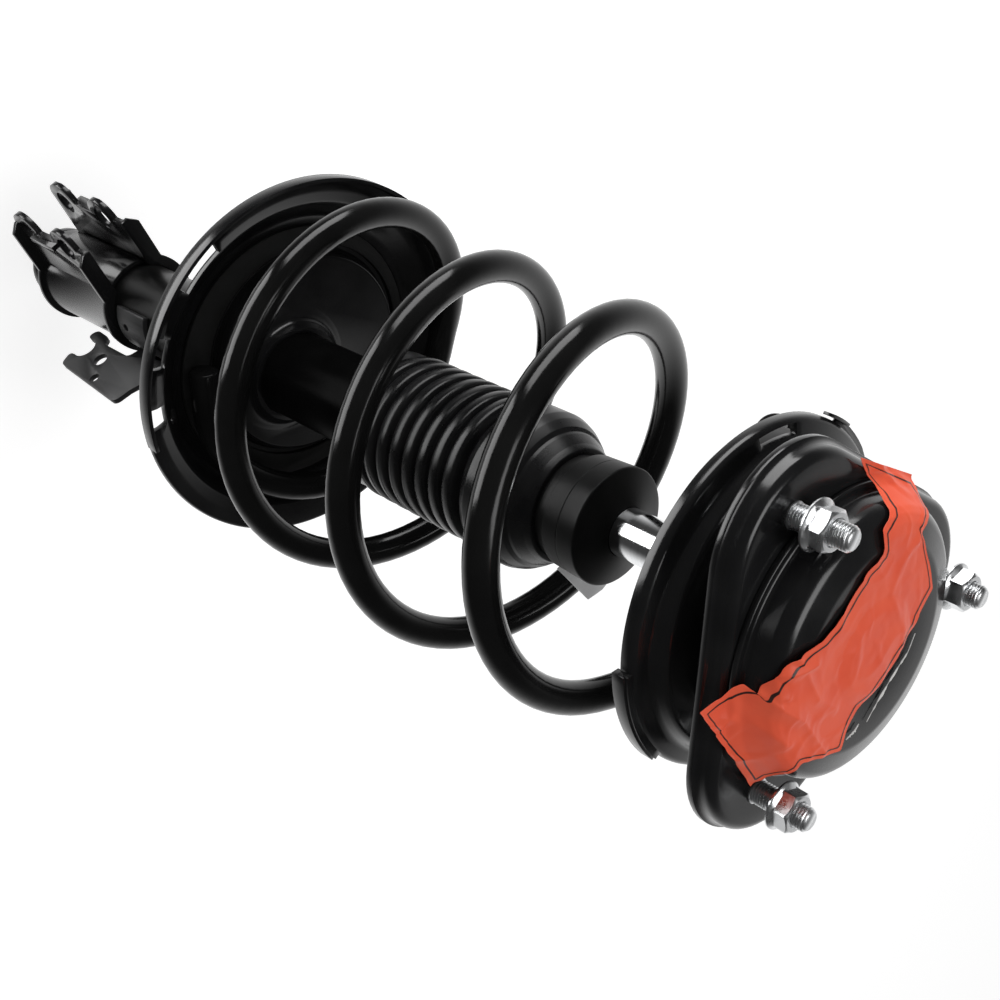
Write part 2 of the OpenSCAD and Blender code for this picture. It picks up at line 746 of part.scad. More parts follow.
// Centre line of the spring, with closed ends that lie on the two insulators
low_rest = low_floor + low_pad_t + wire_r + pad_touch;
dish_rest = -dish_drop + wire_r + 1.8;
top_coil_r = top_pad_r - 3.5;
top_rest = top_pad_z - top_pad_half - (wire_r + pad_touch) / cos(top_pad_tilt);
low_slope = -tan(low_seat_tilt) * polar(1, low_lean);
top_slope = -tan(top_pad_tilt) * polar(1, top_pad_lean);
function soft_max(a, b, s) = s * ln(exp((a - b) / s) + 1) + b;
function coil_point(u) =
    let (w = (u - 2) / 2, turn = 360 * u + coil_datum,
         base_r = mix(coil_r, low_seat_r - 14, min(1, max(0, -w / 0.6))),
         free_r = base_r - 1.6 * w - 5 * w * w,
         free_c = [3 - coil_bow * w + 13.8 * w * w, 4.2 + 4.9 * w + 6.9 * w * w],
         low = smooth((0.7 - u) / 0.3), top = smooth((u - 3.64) / 0.28),
         r = mix(mix(free_r, low_coil_r, low), top_coil_r, top),
         c = mix(mix(free_c, low_centre, low), [0, 0], top),
         p = c + polar(r, turn),
         tilt = [0.033 - 0.098 * w, 0.134 - 0.049 * w],
         free_z = coil_mid + coil_pitch * (u - 2) - 5.1 * w * w - 15.2 * w * w * w
                  + free_r * (tilt * polar(1, turn)),
         low_z = -low_seat_z + mix(low_rest, dish_rest, smooth((u - 0.52) / 0.25))
                 + low_slope * (p - low_centre),
         top_z = top_rest + top_slope * p)
    [p[0], p[1], mix(soft_max(free_z, low_z, 1), top_z, top)];

coil_rings = round((coil_to - coil_from) * rings_per_turn);
coil_line = [for (i = [0:coil_rings]) coil_point(mix(coil_from, coil_to, i / coil_rings))];
function line_run(i) = unit(coil_line[min(i + 1, coil_rings)] - coil_line[max(i - 1, 0)]);
first_run = unit(coil_line[1] - coil_line[0]);
last_run = unit(coil_line[coil_rings] - coil_line[coil_rings - 1]);

// Centre, direction and turn of each ring, with a straight run of one diameter at both ends
wire_rings = concat(
    [[coil_line[0] - 2 * wire_r * first_run, first_run, 0]],
    [for (i = [0:coil_rings]) [coil_line[i], line_run(i), i]],
    [[coil_line[coil_rings] + 2 * wire_r * last_run, last_run, coil_rings]]);

function ring_points(centre, run, i) =
    let (turn = 360 * mix(coil_from, coil_to, i / coil_rings) + coil_datum,
         out = [cos(turn), sin(turn), 0],
         across = unit(out - run * (out * run)), up = cross(run, across))
    [for (k = [0:wire_sides - 1]) let (around = 360 * (k + 0.5) / wire_sides)
        centre + wire_r * (across * cos(around) + up * sin(around))];

module coil_spring() {
    count = len(wire_rings);
    points = [for (r = wire_rings) each ring_points(r[0], r[1], r[2])];
    last = (count - 1) * wire_sides;
    faces = concat(
        [for (i = [0:count - 2], k = [0:wire_sides - 1]) each
            let (a = i * wire_sides + k, b = i * wire_sides + (k + 1) % wire_sides)
            [[a, a + wire_sides, b], [b, a + wire_sides, b + wire_sides]]],
        [for (k = [1:wire_sides - 2]) [0, k, k + 1]],
        [for (k = [1:wire_sides - 2]) [last, last + k + 1, last + k]]);
    color(enamel) polyhedron(points = points, faces = faces, convexity = 10);
}

// Least gap of the spring to itself, between points at least half a turn apart
spring_gap = min([for (i = [0:coil_rings - 12], j = [i + 12:coil_rings]) norm(coil_line[i] - coil_line[j])])
    - 2 * wire_r;
echo(least_gap_of_spring_mm = spring_gap);

mount_plate();
mount_cap();
dust_cap();
mount_base();
rubber_bush();
bearing_outer_race();
mount_studs();
flange_nuts();
label();
bearing_balls();
bearing_cage();
bearing_inner_race();
piston_rod();
top_washer();
top_nut();
upper_spring_seat();
upper_insulator();
coil_spring();
piston();
piston_band();
piston_nut();
rebound_stop();
bump_stop();
dust_boot();
foil_tag();
strut_tube();
base_cup();
inner_cylinder();
foot_valve();
rod_guide();
rod_seal();
gland_cap();
lower_spring_seat();
lower_insulator();
knuckle_bracket();
bracket_reinforcement();
hose_bracket();
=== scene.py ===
"""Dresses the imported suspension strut: finer pieces, materials, light and camera.

Shapes are written in millimetres and degrees, and become metres when a piece is made.
"""
import math

import bmesh
import bpy
import numpy as np
from mathutils import Matrix, Vector, noise


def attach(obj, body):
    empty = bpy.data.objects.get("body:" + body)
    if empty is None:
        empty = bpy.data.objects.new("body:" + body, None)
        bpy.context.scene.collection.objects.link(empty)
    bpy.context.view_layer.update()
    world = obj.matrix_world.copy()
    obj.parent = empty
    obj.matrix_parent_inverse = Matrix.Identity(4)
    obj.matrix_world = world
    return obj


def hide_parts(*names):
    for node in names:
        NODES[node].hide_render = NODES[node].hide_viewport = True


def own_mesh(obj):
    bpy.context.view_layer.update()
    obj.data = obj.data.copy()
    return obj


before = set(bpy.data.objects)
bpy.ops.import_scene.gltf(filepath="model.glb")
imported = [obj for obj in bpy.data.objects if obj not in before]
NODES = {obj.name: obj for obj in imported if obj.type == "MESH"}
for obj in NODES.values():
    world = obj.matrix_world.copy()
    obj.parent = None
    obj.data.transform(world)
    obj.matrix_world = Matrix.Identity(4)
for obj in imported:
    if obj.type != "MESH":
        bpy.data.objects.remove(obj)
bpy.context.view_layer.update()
MM = 0.001


# ---------------------------------------------------------------- small geometry tools

NEARLY_STRAIGHT = 1.55  # half a corner's angle, in radians, from which the corner stays as it is
CORNER_SHARE = 0.48  # share of the shorter side that a corner's arc may take


def polar(r, a):
    """Point in the plane at radius r and a direction in degrees."""
    return (r * math.cos(math.radians(a)), r * math.sin(math.radians(a)))


def mix(a, b, s):
    """a where s is 0, b where s is 1."""
    return a + (b - a) * s


def mix_spot(a, b, s):
    """Point of the plane between a and b."""
    return (mix(a[0], b[0], s), mix(a[1], b[1], s))


def smooth(t):
    """Soft step from 0 to 1."""
    s = min(1.0, max(0.0, t))
    return s * s * (3 - 2 * s)


def curve(numbers, w):
    """Value at w of a polynomial, given by its numbers from the constant up."""
    return sum(number * w ** k for k, number in enumerate(numbers))


def rounded(path, radius, steps=5):
    """The path with each inner corner turned into an arc; radius is one number or a list."""
    points = [np.array(p, float) for p in path]
    made = [points[0]]
    for i in range(1, len(points) - 1):
        a, b, c = points[i - 1], points[i], points[i + 1]
        r = radius[i - 1] if isinstance(radius, list) else radius
        before, after = np.linalg.norm(a - b), np.linalg.norm(c - b)
        u, v = (a - b) / before, (c - b) / after
        half = math.acos(max(-1, min(1, u @ v))) / 2
        if half > NEARLY_STRAIGHT:
            made.append(b)
            continue
        turn = min(r, CORNER_SHARE * min(before, after) * math.tan(half))
        middle = b + (u + v) / np.linalg.norm(u + v) * turn / math.sin(half)
        start = b + u * turn / math.tan(half) - middle
        stop = b + v * turn / math.tan(half) - middle
        first = math.atan2(start[1], start[0])
        sweep = math.atan2(stop[1], stop[0]) - first
        sweep = (sweep + math.pi) % (2 * math.pi) - math.pi
        for k in range(steps + 1):
            angle = first + sweep * k / steps
            made.append(middle + turn * np.array([math.cos(angle), math.sin(angle)]))
    made.append(points[-1])
    return made


def beside(path, t):
    """The path moved to its left by t."""
    points = [np.array(p, float) for p in path]
    made = []
    for i, p in enumerate(points):
        runs = [points[k + 1] - points[k] for k in (i - 1, i) if 0 <= k < len(points) - 1]
        sides = [np.array([-d[1], d[0]]) / np.linalg.norm(d) for d in runs]
        if len(sides) == 1:
            made.append(p + t * sides[0])
        else:
            made.append(p + t * (sum(sides) / (1 + sides[0] @ sides[1])))
    return made


def sheet_profile(path, t, radius, steps, edge):
    """Closed outline of a sheet of thickness t on the left of a path, with rounded edges."""
    front = rounded(path, radius, steps)
    back = rounded(beside(path, t), radius, steps)[::-1]
    tail = rounded([front[-2], front[-1], back[0], back[1]], edge, 3)[1:-1]
    head = rounded([back[-2], back[-1], front[0], front[1]], edge, 3)[1:-1]
    return head + front[1:-1] + tail + back[1:-1]


def circle(r, z, steps, x=0.0, y=0.0):
    """Points of a level circle about (x, y)."""
    spots = [polar(r, 360 * k / steps) for k in range(steps)]
    return [(x + dx, y + dy, z) for dx, dy in spots]


def loft(rings, wrap=False):
    """Faces over a stack of rings of equal length, joined last to first or capped at its ends."""
    n, count = len(rings[0]), len(rings)
    verts = [tuple(p) for ring in rings for p in ring]
    faces = []
    for i in range(count if wrap else count - 1):
        a, b = i * n, ((i + 1) % count) * n
        for k in range(n):
            m = (k + 1) % n
            faces.append((a + k, a + m, b + m, b + k))
    if not wrap:
        faces.append(tuple(range(n))[::-1])
        faces.append(tuple((count - 1) * n + k for k in range(n)))
    return verts, faces


def lathe(profile, steps):
    """A closed outline of radii and heights turned about Z."""
    return loft([circle(r, z, steps) for r, z in profile], wrap=True)


def join(*parts):
    """One list of vertices and faces from several."""
    verts, faces = [], []
    for v, f in parts:
        base = len(verts)
        verts += list(v)
        faces += [tuple(i + base for i in face) for face in f]
    return verts, faces


# ---------------------------------------------------------------- making pieces

WELD = 1e-6  # metres; vertices closer than this become one
CAD_WELD = 2e-6
FACET_ANGLE = 0.6  # faces of a CAD solid that meet at less are joined
HARD_ANGLE = 32  # edges of a CAD solid that are sharper get rounded


def add_object(name, data):
    """An object in the scene."""
    obj = bpy.data.objects.new(name, data)
    bpy.context.scene.collection.objects.link(obj)
    return obj


def add_piece(name, mesh, bm, body, finish, replaces, sharp):
    """A smooth-shaded piece, hard at edges above an angle, that rides on a body."""
    bmesh.ops.recalc_face_normals(bm, faces=bm.faces)
    limit = math.radians(sharp)
    for f in bm.faces:
        f.smooth = True
    for e in bm.edges:
        e.smooth = len(e.link_faces) == 2 and e.calc_face_angle(0) < limit
    bm.to_mesh(mesh)
    bm.free()
    mesh.materials.append(finish)
    obj = add_object(name, mesh)
    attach(obj, body)
    if replaces:
        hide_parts(*replaces)
    return obj


def make(name, shape, body, finish, replaces=(), sharp=40):
    """A piece from vertices in millimetres and faces, which stands for CAD nodes."""
    verts, faces = shape
    mesh = bpy.data.meshes.new(name)
    mesh.from_pydata([(x * MM, y * MM, z * MM) for x, y, z in verts], [], faces)
    bm = bmesh.new()
    bm.from_mesh(mesh)
    bmesh.ops.remove_doubles(bm, verts=bm.verts, dist=WELD)
    return add_piece(name, mesh, bm, body, finish, replaces, sharp)


def soften(node, body, finish, width):
    """A copy of a CAD node with its facets joined and its edges rounded."""
    name = node + "_shape"
    bm = bmesh.new()
    bm.from_mesh(NODES[node].data)
    bmesh.ops.remove_doubles(bm, verts=bm.verts, dist=CAD_WELD)
    bmesh.ops.dissolve_limit(bm, angle_limit=math.radians(FACET_ANGLE), verts=bm.verts,
                             edges=bm.edges)
    limit = math.radians(HARD_ANGLE)
    edges = [e for e in bm.edges if len(e.link_faces) == 2 and e.calc_face_angle(0) > limit]
    bmesh.ops.bevel(bm, geom=edges, offset=width * MM, offset_type="OFFSET", segments=2,
                    profile=0.5, affect="EDGES", clamp_overlap=True, miter_outer="ARC")
    add_piece(name, bpy.data.meshes.new(name), bm, body, finish, (node,), 40)


# ---------------------------------------------------------------- materials

MIX_SOCKETS = {"FLOAT": (2, 3, 0), "RGBA": (6, 7, 2)}  # numbers of the two inputs and the output
DUST = (0.35, 0.35, 0.34, 1)
GLOSS_FADE = 6  # millimetres above and below the height at which gloss changes


def feed(tree, node, values):
    """Sets a node's inputs to numbers or colours, or links them to other nodes' outputs."""
    for key, value in values.items():
        if isinstance(value, bpy.types.NodeSocket):
            tree.links.new(value, node.inputs[key])
        else:
            node.inputs[key].default_value = value


def add_noise(tree, where, scale, detail):
    """Noise read at a place."""
    made = tree.nodes.new("ShaderNodeTexNoise")
    feed(tree, made, {"Vector": where, "Scale": scale, "Detail": detail})
    return made.outputs["Fac"]


def add_ramp(tree, value, spots, colours):
    """Colour that goes from one to another between two values."""
    made = tree.nodes.new("ShaderNodeValToRGB")
    for element, spot, colour in zip(made.color_ramp.elements, spots, colours):
        element.position = spot
        element.color = (*colour, 1)
    feed(tree, made, {"Fac": value})
    return made.outputs["Color"]


def add_range(tree, value, source, target, way="LINEAR"):
    """A value taken from one range of numbers to another."""
    made = tree.nodes.new("ShaderNodeMapRange")
    made.interpolation_type = way
    feed(tree, made, {"Value": value, "From Min": source[0], "From Max": source[1],
                      "To Min": target[0], "To Max": target[1]})
    return made.outputs["Result"]


def add_math(tree, operation, a, b):
    """Result of a calculation on two values."""
    made = tree.nodes.new("ShaderNodeMath")
    made.operation = operation
    feed(tree, made, {0: a, 1: b})
    return made.outputs[0]


def add_mix(tree, kind, share, a, b):
    """a where the share is 0, b where it is 1."""
    made = tree.nodes.new("ShaderNodeMix")
    made.data_type = kind
    first, second, result = MIX_SOCKETS[kind]
    feed(tree, made, {0: share, first: a, second: b})
    return made.outputs[result]


def material(name, low, high, rough, blotch, grain, depth, metal=0.0, coat=0.0, specular=0.5,
             stretch=(1, 1, 1), specks=0.0):
    """A surface whose colour, roughness and relief vary with noise; depth is in millimetres."""
    mat = bpy.data.materials.new(name)
    mat.use_nodes = True
    tree = mat.node_tree
    where = tree.nodes.new("ShaderNodeTexCoord")
    scaled = tree.nodes.new("ShaderNodeMapping")
    feed(tree, scaled, {"Vector": where.outputs["Object"], "Scale": stretch})
    broad = add_noise(tree, scaled.outputs["Vector"], blotch, 5.0)
    fine = add_noise(tree, scaled.outputs["Vector"], grain, 3.0)
    colour = add_ramp(tree, broad, (0.32, 0.68), (low, high))
    if specks:
        dust = add_ramp(tree, fine, (0.70, 0.78), ((0, 0, 0), (1, 1, 1)))
        share = add_math(tree, "MULTIPLY", dust, specks)
        colour = add_mix(tree, "RGBA", share, colour, DUST)
    bump = tree.nodes.new("ShaderNodeBump")
    feed(tree, bump, {"Distance": depth * MM, "Strength": 1.0, "Height": fine})
    feed(tree, tree.nodes["Principled BSDF"], {
        "Base Color": colour,
        "Metallic": metal,
        "Roughness": add_range(tree, broad, (0.3, 0.7), rough),
        "Specular IOR Level": specular,
        "Coat Weight": coat,
        "Coat Roughness": 0.08,
        "Normal": bump.outputs["Normal"],
    })
    return mat


def painted_shade_gloss(mat, height, below, above):
    """Gloss that changes at a height: painted shade, which dulls what stands in the shade inside
    the lower seat's bowl.
    """
    tree = mat.node_tree
    where = tree.nodes.new("ShaderNodeTexCoord")
    split = tree.nodes.new("ShaderNodeSeparateXYZ")
    feed(tree, split, {0: where.outputs["Object"]})
    fade = ((height - GLOSS_FADE) * MM, (height + GLOSS_FADE) * MM)
    gloss = add_range(tree, split.outputs["Z"], fade, (below, above))
    feed(tree, tree.nodes["Principled BSDF"], {"Specular IOR Level": gloss})


ENAMEL = material("black_enamel", (0.0075, 0.0075, 0.008), (0.012, 0.012, 0.0125), (0.16, 0.24),
                  blotch=45, grain=420, depth=0.010, coat=0.15, specular=0.4)
TUBE = material("tube_paint", (0.003, 0.003, 0.003), (0.005, 0.005, 0.005), (0.26, 0.36),
                blotch=45, grain=420, depth=0.010, specular=0.32)
SATIN = material("satin_enamel", (0.020, 0.020, 0.021), (0.030, 0.030, 0.031), (0.42, 0.52),
                 blotch=60, grain=900, depth=0.020)
SPRING = material("spring_enamel", (0.005, 0.005, 0.005), (0.009, 0.009, 0.009), (0.13, 0.19),
                  blotch=30, grain=600, depth=0.014, coat=0.06, specular=0.28)
RUBBER = material("rubber", (0.009, 0.009, 0.009), (0.015, 0.015, 0.015), (0.50, 0.62),
                  blotch=70, grain=1500, depth=0.02, specular=0.3)
BUMP = material("bump_rubber", (0.006, 0.006, 0.006), (0.010, 0.010, 0.010), (0.36, 0.46),
                blotch=60, grain=1800, depth=0.02, specular=0.20, specks=0.08)
BOOT = material("boot_rubber", (0.006, 0.006, 0.0065), (0.011, 0.011, 0.0115), (0.24, 0.34),
                blotch=80, grain=1300, depth=0.02, specular=0.28, specks=0.05)
ZINC = material("zinc", (0.76, 0.77, 0.78), (0.90, 0.91, 0.92), (0.24, 0.36),
                blotch=220, grain=2500, depth=0.010, metal=1.0)
CHROME = material("chrome_rod", (0.80, 0.81, 0.82), (0.88, 0.89, 0.90), (0.09, 0.14),
                  blotch=120, grain=2600, depth=0.002, metal=1.0, stretch=(1, 1, 9))
MACHINED = material("machined_steel", (0.42, 0.43, 0.44), (0.56, 0.57, 0.58), (0.24, 0.36),
                    blotch=90, grain=2200, depth=0.006, metal=1.0, stretch=(1, 1, 14))
BEARING = material("bearing_steel", (0.55, 0.56, 0.58), (0.68, 0.69, 0.70), (0.10, 0.16),
                   blotch=140, grain=2600, depth=0.002, metal=1.0)
BRASS = material("cage_brass", (0.62, 0.42, 0.16), (0.74, 0.52, 0.22), (0.25, 0.35),
                 blotch=160, grain=1800, depth=0.006, metal=1.0)
BAND = material("band_plastic", (0.05, 0.05, 0.052), (0.08, 0.08, 0.082), (0.40, 0.5),
                blotch=150, grain=1500, depth=0.01)
INK = material("label_ink", (0.030, 0.012, 0.010), (0.045, 0.018, 0.014), (0.35, 0.45),
               blotch=300, grain=1500, depth=0.005)
LABEL = material("orange_label", (0.88, 0.105, 0.045), (0.94, 0.130, 0.058), (0.38, 0.48),
                 blotch=60, grain=500, depth=0.03, specular=0.3)
# pale finish for the ragged slivers that lie on the cap beside the label
SLIVER_FINISH = material("pale_sliver", (0.70, 0.69, 0.67), (0.82, 0.81, 0.79), (0.40, 0.55),
                 blotch=200, grain=900, depth=0.03)
TAG = material("silver_tag", (0.84, 0.845, 0.85), (0.92, 0.92, 0.925), (0.28, 0.42),
               blotch=160, grain=700, depth=0.05, metal=0.3)

# painted shade: the tube above the lower seat's floor and the spring's lowest coil lose their
# gloss where the bowl shades them
painted_shade_gloss(TUBE, -352, 0.32, 0.02)
painted_shade_gloss(SPRING, -336, 0.05, 0.30)


# ---------------------------------------------------------------- spring

WIRE_R = 7.45
REST_GAP = 0.3  # between the wire and the rubber that it rests on
SPRING_TOP, SPRING_LOW, STROKE = -52.5, -353.7, 137.0

# the wire's ends and the direction of its datum, in turns and degrees
COIL_FROM, COIL_TO, DATUM = 0.445, 4.04, -2.95

# free turns, as curves of w, which goes from -1 to 1 over four turns
FREE_R = (83.8, -1.6, -5.0)
FREE_X = (3.0, -15.4, 13.8)
FREE_Y = (4.2, 4.9, 6.9)
FREE_Z = (-229.9, 184.6, -5.1, -15.2)
FREE_SLOPE_X = (0.033, -0.098)
FREE_SLOPE_Y = (0.134, -0.049)

# closed turns: radius, then each seat's centre, and the amount and direction of its slant
CLOSED_R = 61
LOW_SEAT = (11, -1.8, -336.9)
LOW_SLANT = (3.6, 213)
TOP_SLANT = (6, -45)
CHANNEL_Z = -13.5  # top of the rubber in the lower seat's channel, below the seat's rim
SHOULDER_Z = -4.2  # where the first free turn leaves the seat's shoulder

# rounding of the wire's cut ends: distance short of the end, and share of the wire's radius
END_ROUNDING = ((1.2, 1.0), (0.35, 0.93), (0.0, 0.82))


def soft_max(a, b):
    """The larger of two heights, blended over about a millimetre where they are close."""
    return math.log(math.exp(a - b) + 1) + b


def slant(amount, direction, x, y):
    """Height at (x, y) of a plane through zero that falls towards a direction."""
    slope = polar(-math.tan(math.radians(amount)), direction)
    return slope[0] * x + slope[1] * y


def coil_point(u):
    """Centre of the wire u turns from the datum, with closed ends on the two insulators."""
    w = (u - 2) / 2
    low, top = smooth((0.7 - u) / 0.3), smooth((u - 3.64) / 0.28)
    out = polar(1, 360 * u + DATUM)
    free_r = curve(FREE_R, w)
    r = mix(mix(free_r, CLOSED_R, low), CLOSED_R, top)
    x = mix(mix(curve(FREE_X, w), LOW_SEAT[0], low), 0, top) + r * out[0]
    y = mix(mix(curve(FREE_Y, w), LOW_SEAT[1], low), 0, top) + r * out[1]
    lean = curve(FREE_SLOPE_X, w) * out[0] + curve(FREE_SLOPE_Y, w) * out[1]
    free_z = curve(FREE_Z, w) + free_r * lean
    rest = mix(CHANNEL_Z + REST_GAP, SHOULDER_Z, smooth((u - 0.52) / 0.25))
    low_z = LOW_SEAT[2] + rest + WIRE_R + slant(*LOW_SLANT, x - LOW_SEAT[0], y - LOW_SEAT[1])
    top_gap = (WIRE_R + REST_GAP) / math.cos(math.radians(TOP_SLANT[0]))
    top_z = SPRING_TOP - top_gap + slant(*TOP_SLANT, x, y)
    return np.array([x, y, mix(soft_max(free_z, low_z), top_z, top)])


def spring_shape(per_turn=72, sides=28):
    """Round wire along the coil, which runs on a little past each end and is rounded there."""
    count = int(round((COIL_TO - COIL_FROM) * per_turn))
    spots = [mix(COIL_FROM, COIL_TO, i / count) for i in range(count + 1)]
    line = [coil_point(u) for u in spots]
    stations = []
    for i, u in enumerate(spots):
        run = line[min(i + 1, count)] - line[max(i - 1, 0)]
        stations.append((line[i], run / np.linalg.norm(run), math.radians(360 * u + DATUM), 1.0))
    first, last = stations[0], stations[-1]
    for short, share in END_ROUNDING:
        reach = 2 * WIRE_R - short
        stations.insert(0, (first[0] - reach * first[1], first[1], first[2], share))
        stations.append((last[0] + reach * last[1], last[1], last[2], share))
    rings = []
    for centre, run, turn, share in stations:
        out = np.array([math.cos(turn), math.sin(turn), 0.0])
        across = out - run * (out @ run)
        across /= np.linalg.norm(across)
        up = np.cross(run, across)
        section = [polar(WIRE_R * share, 360 * k / sides) for k in range(sides)]
        rings.append([centre + a * across + b * up for a, b in section])
    return loft(rings)


spring = make("spring_coil", spring_shape(), "rod_side", SPRING, ("coil_spring",))
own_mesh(spring)


# ---------------------------------------------------------------- boot, bump stop and tag

FIRST_RIB, RIB_PITCH, RIBS = -179.0, 9.2, 8
RIB = [(31.0, 4.35), (31.9, 4.0), (34.6, 3.35), (35.3, 2.6), (35.6, 1.2),
       (35.65, -0.4), (35.5, -1.8), (35.15, -3.0), (34.3, -3.7), (31.8, -4.15)]
TAG_Z = -132.1


def boot_shape():
    """Ribbed boot: broad crowned bands with a narrow groove between them, on a stepped collar."""
    outer = rounded([(24.1, -134.4), (26.3, -134.4), (27.8, -137.8), (30.6, -142.8),
                     (31.1, -144.2), (32.8, -145.8), (35.3, -150), (36.8, -154.5),
                     (36.8, -166.5), (35.2, -170.2), (31.6, -172.6)],
                    [1.0, 3, 1, 0.8, 1.5, 4, 4, 3, 2], 4)
    for i in range(RIBS):
        outer += [(r, FIRST_RIB - i * RIB_PITCH + rise) for r, rise in RIB]
    outer += [(31.4, -248.2), (34.0, -249.2), (34.6, -256.8), (34.6, -258.2)]
    inner = rounded([(34.0, -258.6), (33.0, -258.4), (33.0, -254.5), (29.4, -250),
                     (29.4, -172), (34.6, -165), (34.6, -157), (32.8, -152),
                     (28.8, -144.5), (25.8, -137), (24.1, -136.2)], 1.2, 2)
    return lathe(outer + inner, 144)


def bump_shape():
    """Bump stop: a cap with a low conical crown and a moulding line, a neck and a waisted body."""
    bore, edge, base = (11.25, -103.65), (26.9, -109.2), (26.0, -128)
    crown = [bore] + [mix_spot(bore, (25.4, -108.67), t) for t in (0.06, 0.3, 0.6, 0.9)]
    rim = rounded([bore, edge, (26.8, -111.5)], 1.1, 6)[1:-1]
    side = [mix_spot(edge, base, t) for t in (0.14, 0.20, 0.4)]
    seam = [(26.45, -118.9), (26.42, -119.2), (26.27, -119.4), (26.40, -119.6), (26.38, -119.9)]
    low = rounded([(26.15, -124.6), (26.02, -127.6), base, (24.6, -128), (24, -129.4),
                   (24, -141), (21, -144), (21, -149), (18, -153), (21, -157), (21, -160),
                   (18, -166), (16, -175), (11.05, -175)],
                  [0.2, 0.6, 0.4, 0.6, 1, 2, 2, 2, 2, 2, 2, 1], 3)
    inner = [(11.05, -174.5), (11.05, -104.4), (11.1, -103.85)]
    return lathe(crown + rim + side + seam + low + inner, 144)


def tag_shape():
    """Foil tag that sticks out from the bump stop's neck on one side, a little curled."""
    corners = [(-22.4, -17.0), (-14.8, -48.9), (-5.8, -51.8), (7.0, -51.0), (6.0, -23.3)]
    outline = []
    for i, a in enumerate(corners):
        b = corners[(i + 1) % len(corners)]
        outline += [mix_spot(a, b, k / 6) for k in range(6)]
    centre = [sum(p[k] for p in outline) / len(outline) for k in range(2)]

    def height(x, y):
        far = (math.hypot(x, y) - 24) / 30
        return TAG_Z - 1.5 * far * far + 0.25 * noise.noise(Vector((x * 0.09, y * 0.09, 3.1)))

    top, low = [], []
    for share in (1.0, 0.97, 0.8, 0.6, 0.4, 0.2, 0.05):
        spots = [mix_spot(centre, p, share) for p in outline]
        top.append([(x, y, height(x, y) + 0.3) for x, y in spots])
        low.append([(x, y, height(x, y) - 0.15) for x, y in spots])
    return loft(top[::-1] + low)


make("boot_bellows", boot_shape(), "bump_side", BOOT, ("dust_boot",))
make("bump_cap", bump_shape(), "bump_side", BUMP, ("bump_stop",))
make("tag_foil", tag_shape(), "bump_side", TAG, ("foil_tag",))


# ---------------------------------------------------------------- threads and nuts

STUD_RING = 67.0
STUD_ANGLES = (90, 210, 330)
STUD_HEAD = [(6.9, -6.5), (7.5, -6.0), (7.5, -3.4), (7.2, -3.05), (5.4, -3.0), (5.4, 0.6),
             (4.5, 1.0)]
NUT_LIFTS = (9.0, 11.3, 11.2)
NUT_TURNS = (48, 44, 18)


def thread_shape(x, y, low, high, root, crest, pitch=1.25, steps=36, tip=1.2):
    """Threaded bar with a chamfered tip."""
    rows = int((high - low) / (pitch / 8))
    rings = []
    for i in range(rows + 1):
        z = mix(low, high, i / rows)
        ring = []
        for k in range(steps):
            phase = (z / pitch - k / steps) % 1.0
            tooth = 1 - abs(2 * phase - 1)
            tooth = min(1.0, max(0.0, (tooth - 0.12) / 0.7))
            r = min(mix(root, crest, tooth), crest - max(0.0, z - (high - tip)))
            d = polar(r, 360 * k / steps)
            ring.append((x + d[0], y + d[1], z))
        rings.append(ring)
    return loft(rings)


def nut_shape(x, y, z0, turn, flats=15.0, height=8.5, flange=10.0, bore=4.86, steps=96):
    """Flange nut: serrated skirt, coned flange, chamfered hexagon and a countersunk bore."""
    chamfer = flats / 2 * 0.985

    def section(a):
        """The nut's outline in one direction, as radii and heights."""
        hexagon = flats / 2 / math.cos(math.radians(((a - turn + 30) % 60) - 30))
        shoulder = height - 0.25 - max(0.0, hexagon - chamfer) * 0.65
        serration = 0.12 * (int(a / 7.5) % 2)
        cone = 1.9 + 0.1 * math.cos(math.radians(6 * a))
        return [(bore + 0.6, 0.0), (flange - 0.9, serration), (flange, 0.35),
                (flange + 0.02, 1.0), (flange - 0.25, 1.35),
                (max(hexagon + 0.15, flange - 1.35), cone), (hexagon + 0.02, 2.5),
                (hexagon, 3.2), (hexagon, shoulder - 0.2), (hexagon - 0.12, shoulder),
                (chamfer - 0.15, height - 0.05), (chamfer - 0.7, height),
                (bore + 0.75, height), (bore, height - 0.8), (bore, 0.7)]

    columns = []
    for k in range(steps):
        a = 360 * k / steps
        d = polar(1, a)
        columns.append([(x + r * d[0], y + r * d[1], z0 + h) for r, h in section(a)])
    return loft(list(zip(*columns)), wrap=True)


studs, nuts = [], []
for angle, lift, turn in zip(STUD_ANGLES, NUT_LIFTS, NUT_TURNS):
    spot = polar(STUD_RING, angle)
    studs.append(loft([circle(r, z, 40, *spot) for r, z in STUD_HEAD]))
    studs.append(thread_shape(*spot, 0.8, 25.0, 4.3, 4.98))
    nuts.append(nut_shape(*spot, lift, turn))
make("stud_threads", join(*studs), "body_side", ZINC, ("mount_studs",), sharp=55)
make("nut_flanged", join(*nuts), "body_side", ZINC, ("flange_nuts",), sharp=28)


# ---------------------------------------------------------------- mount plate and cap

LOBE_RING, LOBE_R, PLATE_HOLE_R, PLATE_BEND, PLATE_T = 46.0, 39.0, 47.0, 4.0, 3.0

# skirt, turned-out lip and underside, as inset from the plate's outline and height
PLATE_SKIRT = ((-0.1, -5.5), (-0.5, -7.2), (-1.3, -8.0), (-1.9, -8.3), (-2.0, -8.8),
               (-2.0, -10.4), (-1.7, -11.0), (-0.9, -11.0), (1.2, -11.0), (2.2, -10.4),
               (2.6, -9.0), (3.0, -6.5), (4.4, -4.0), (7.0, -3.0))


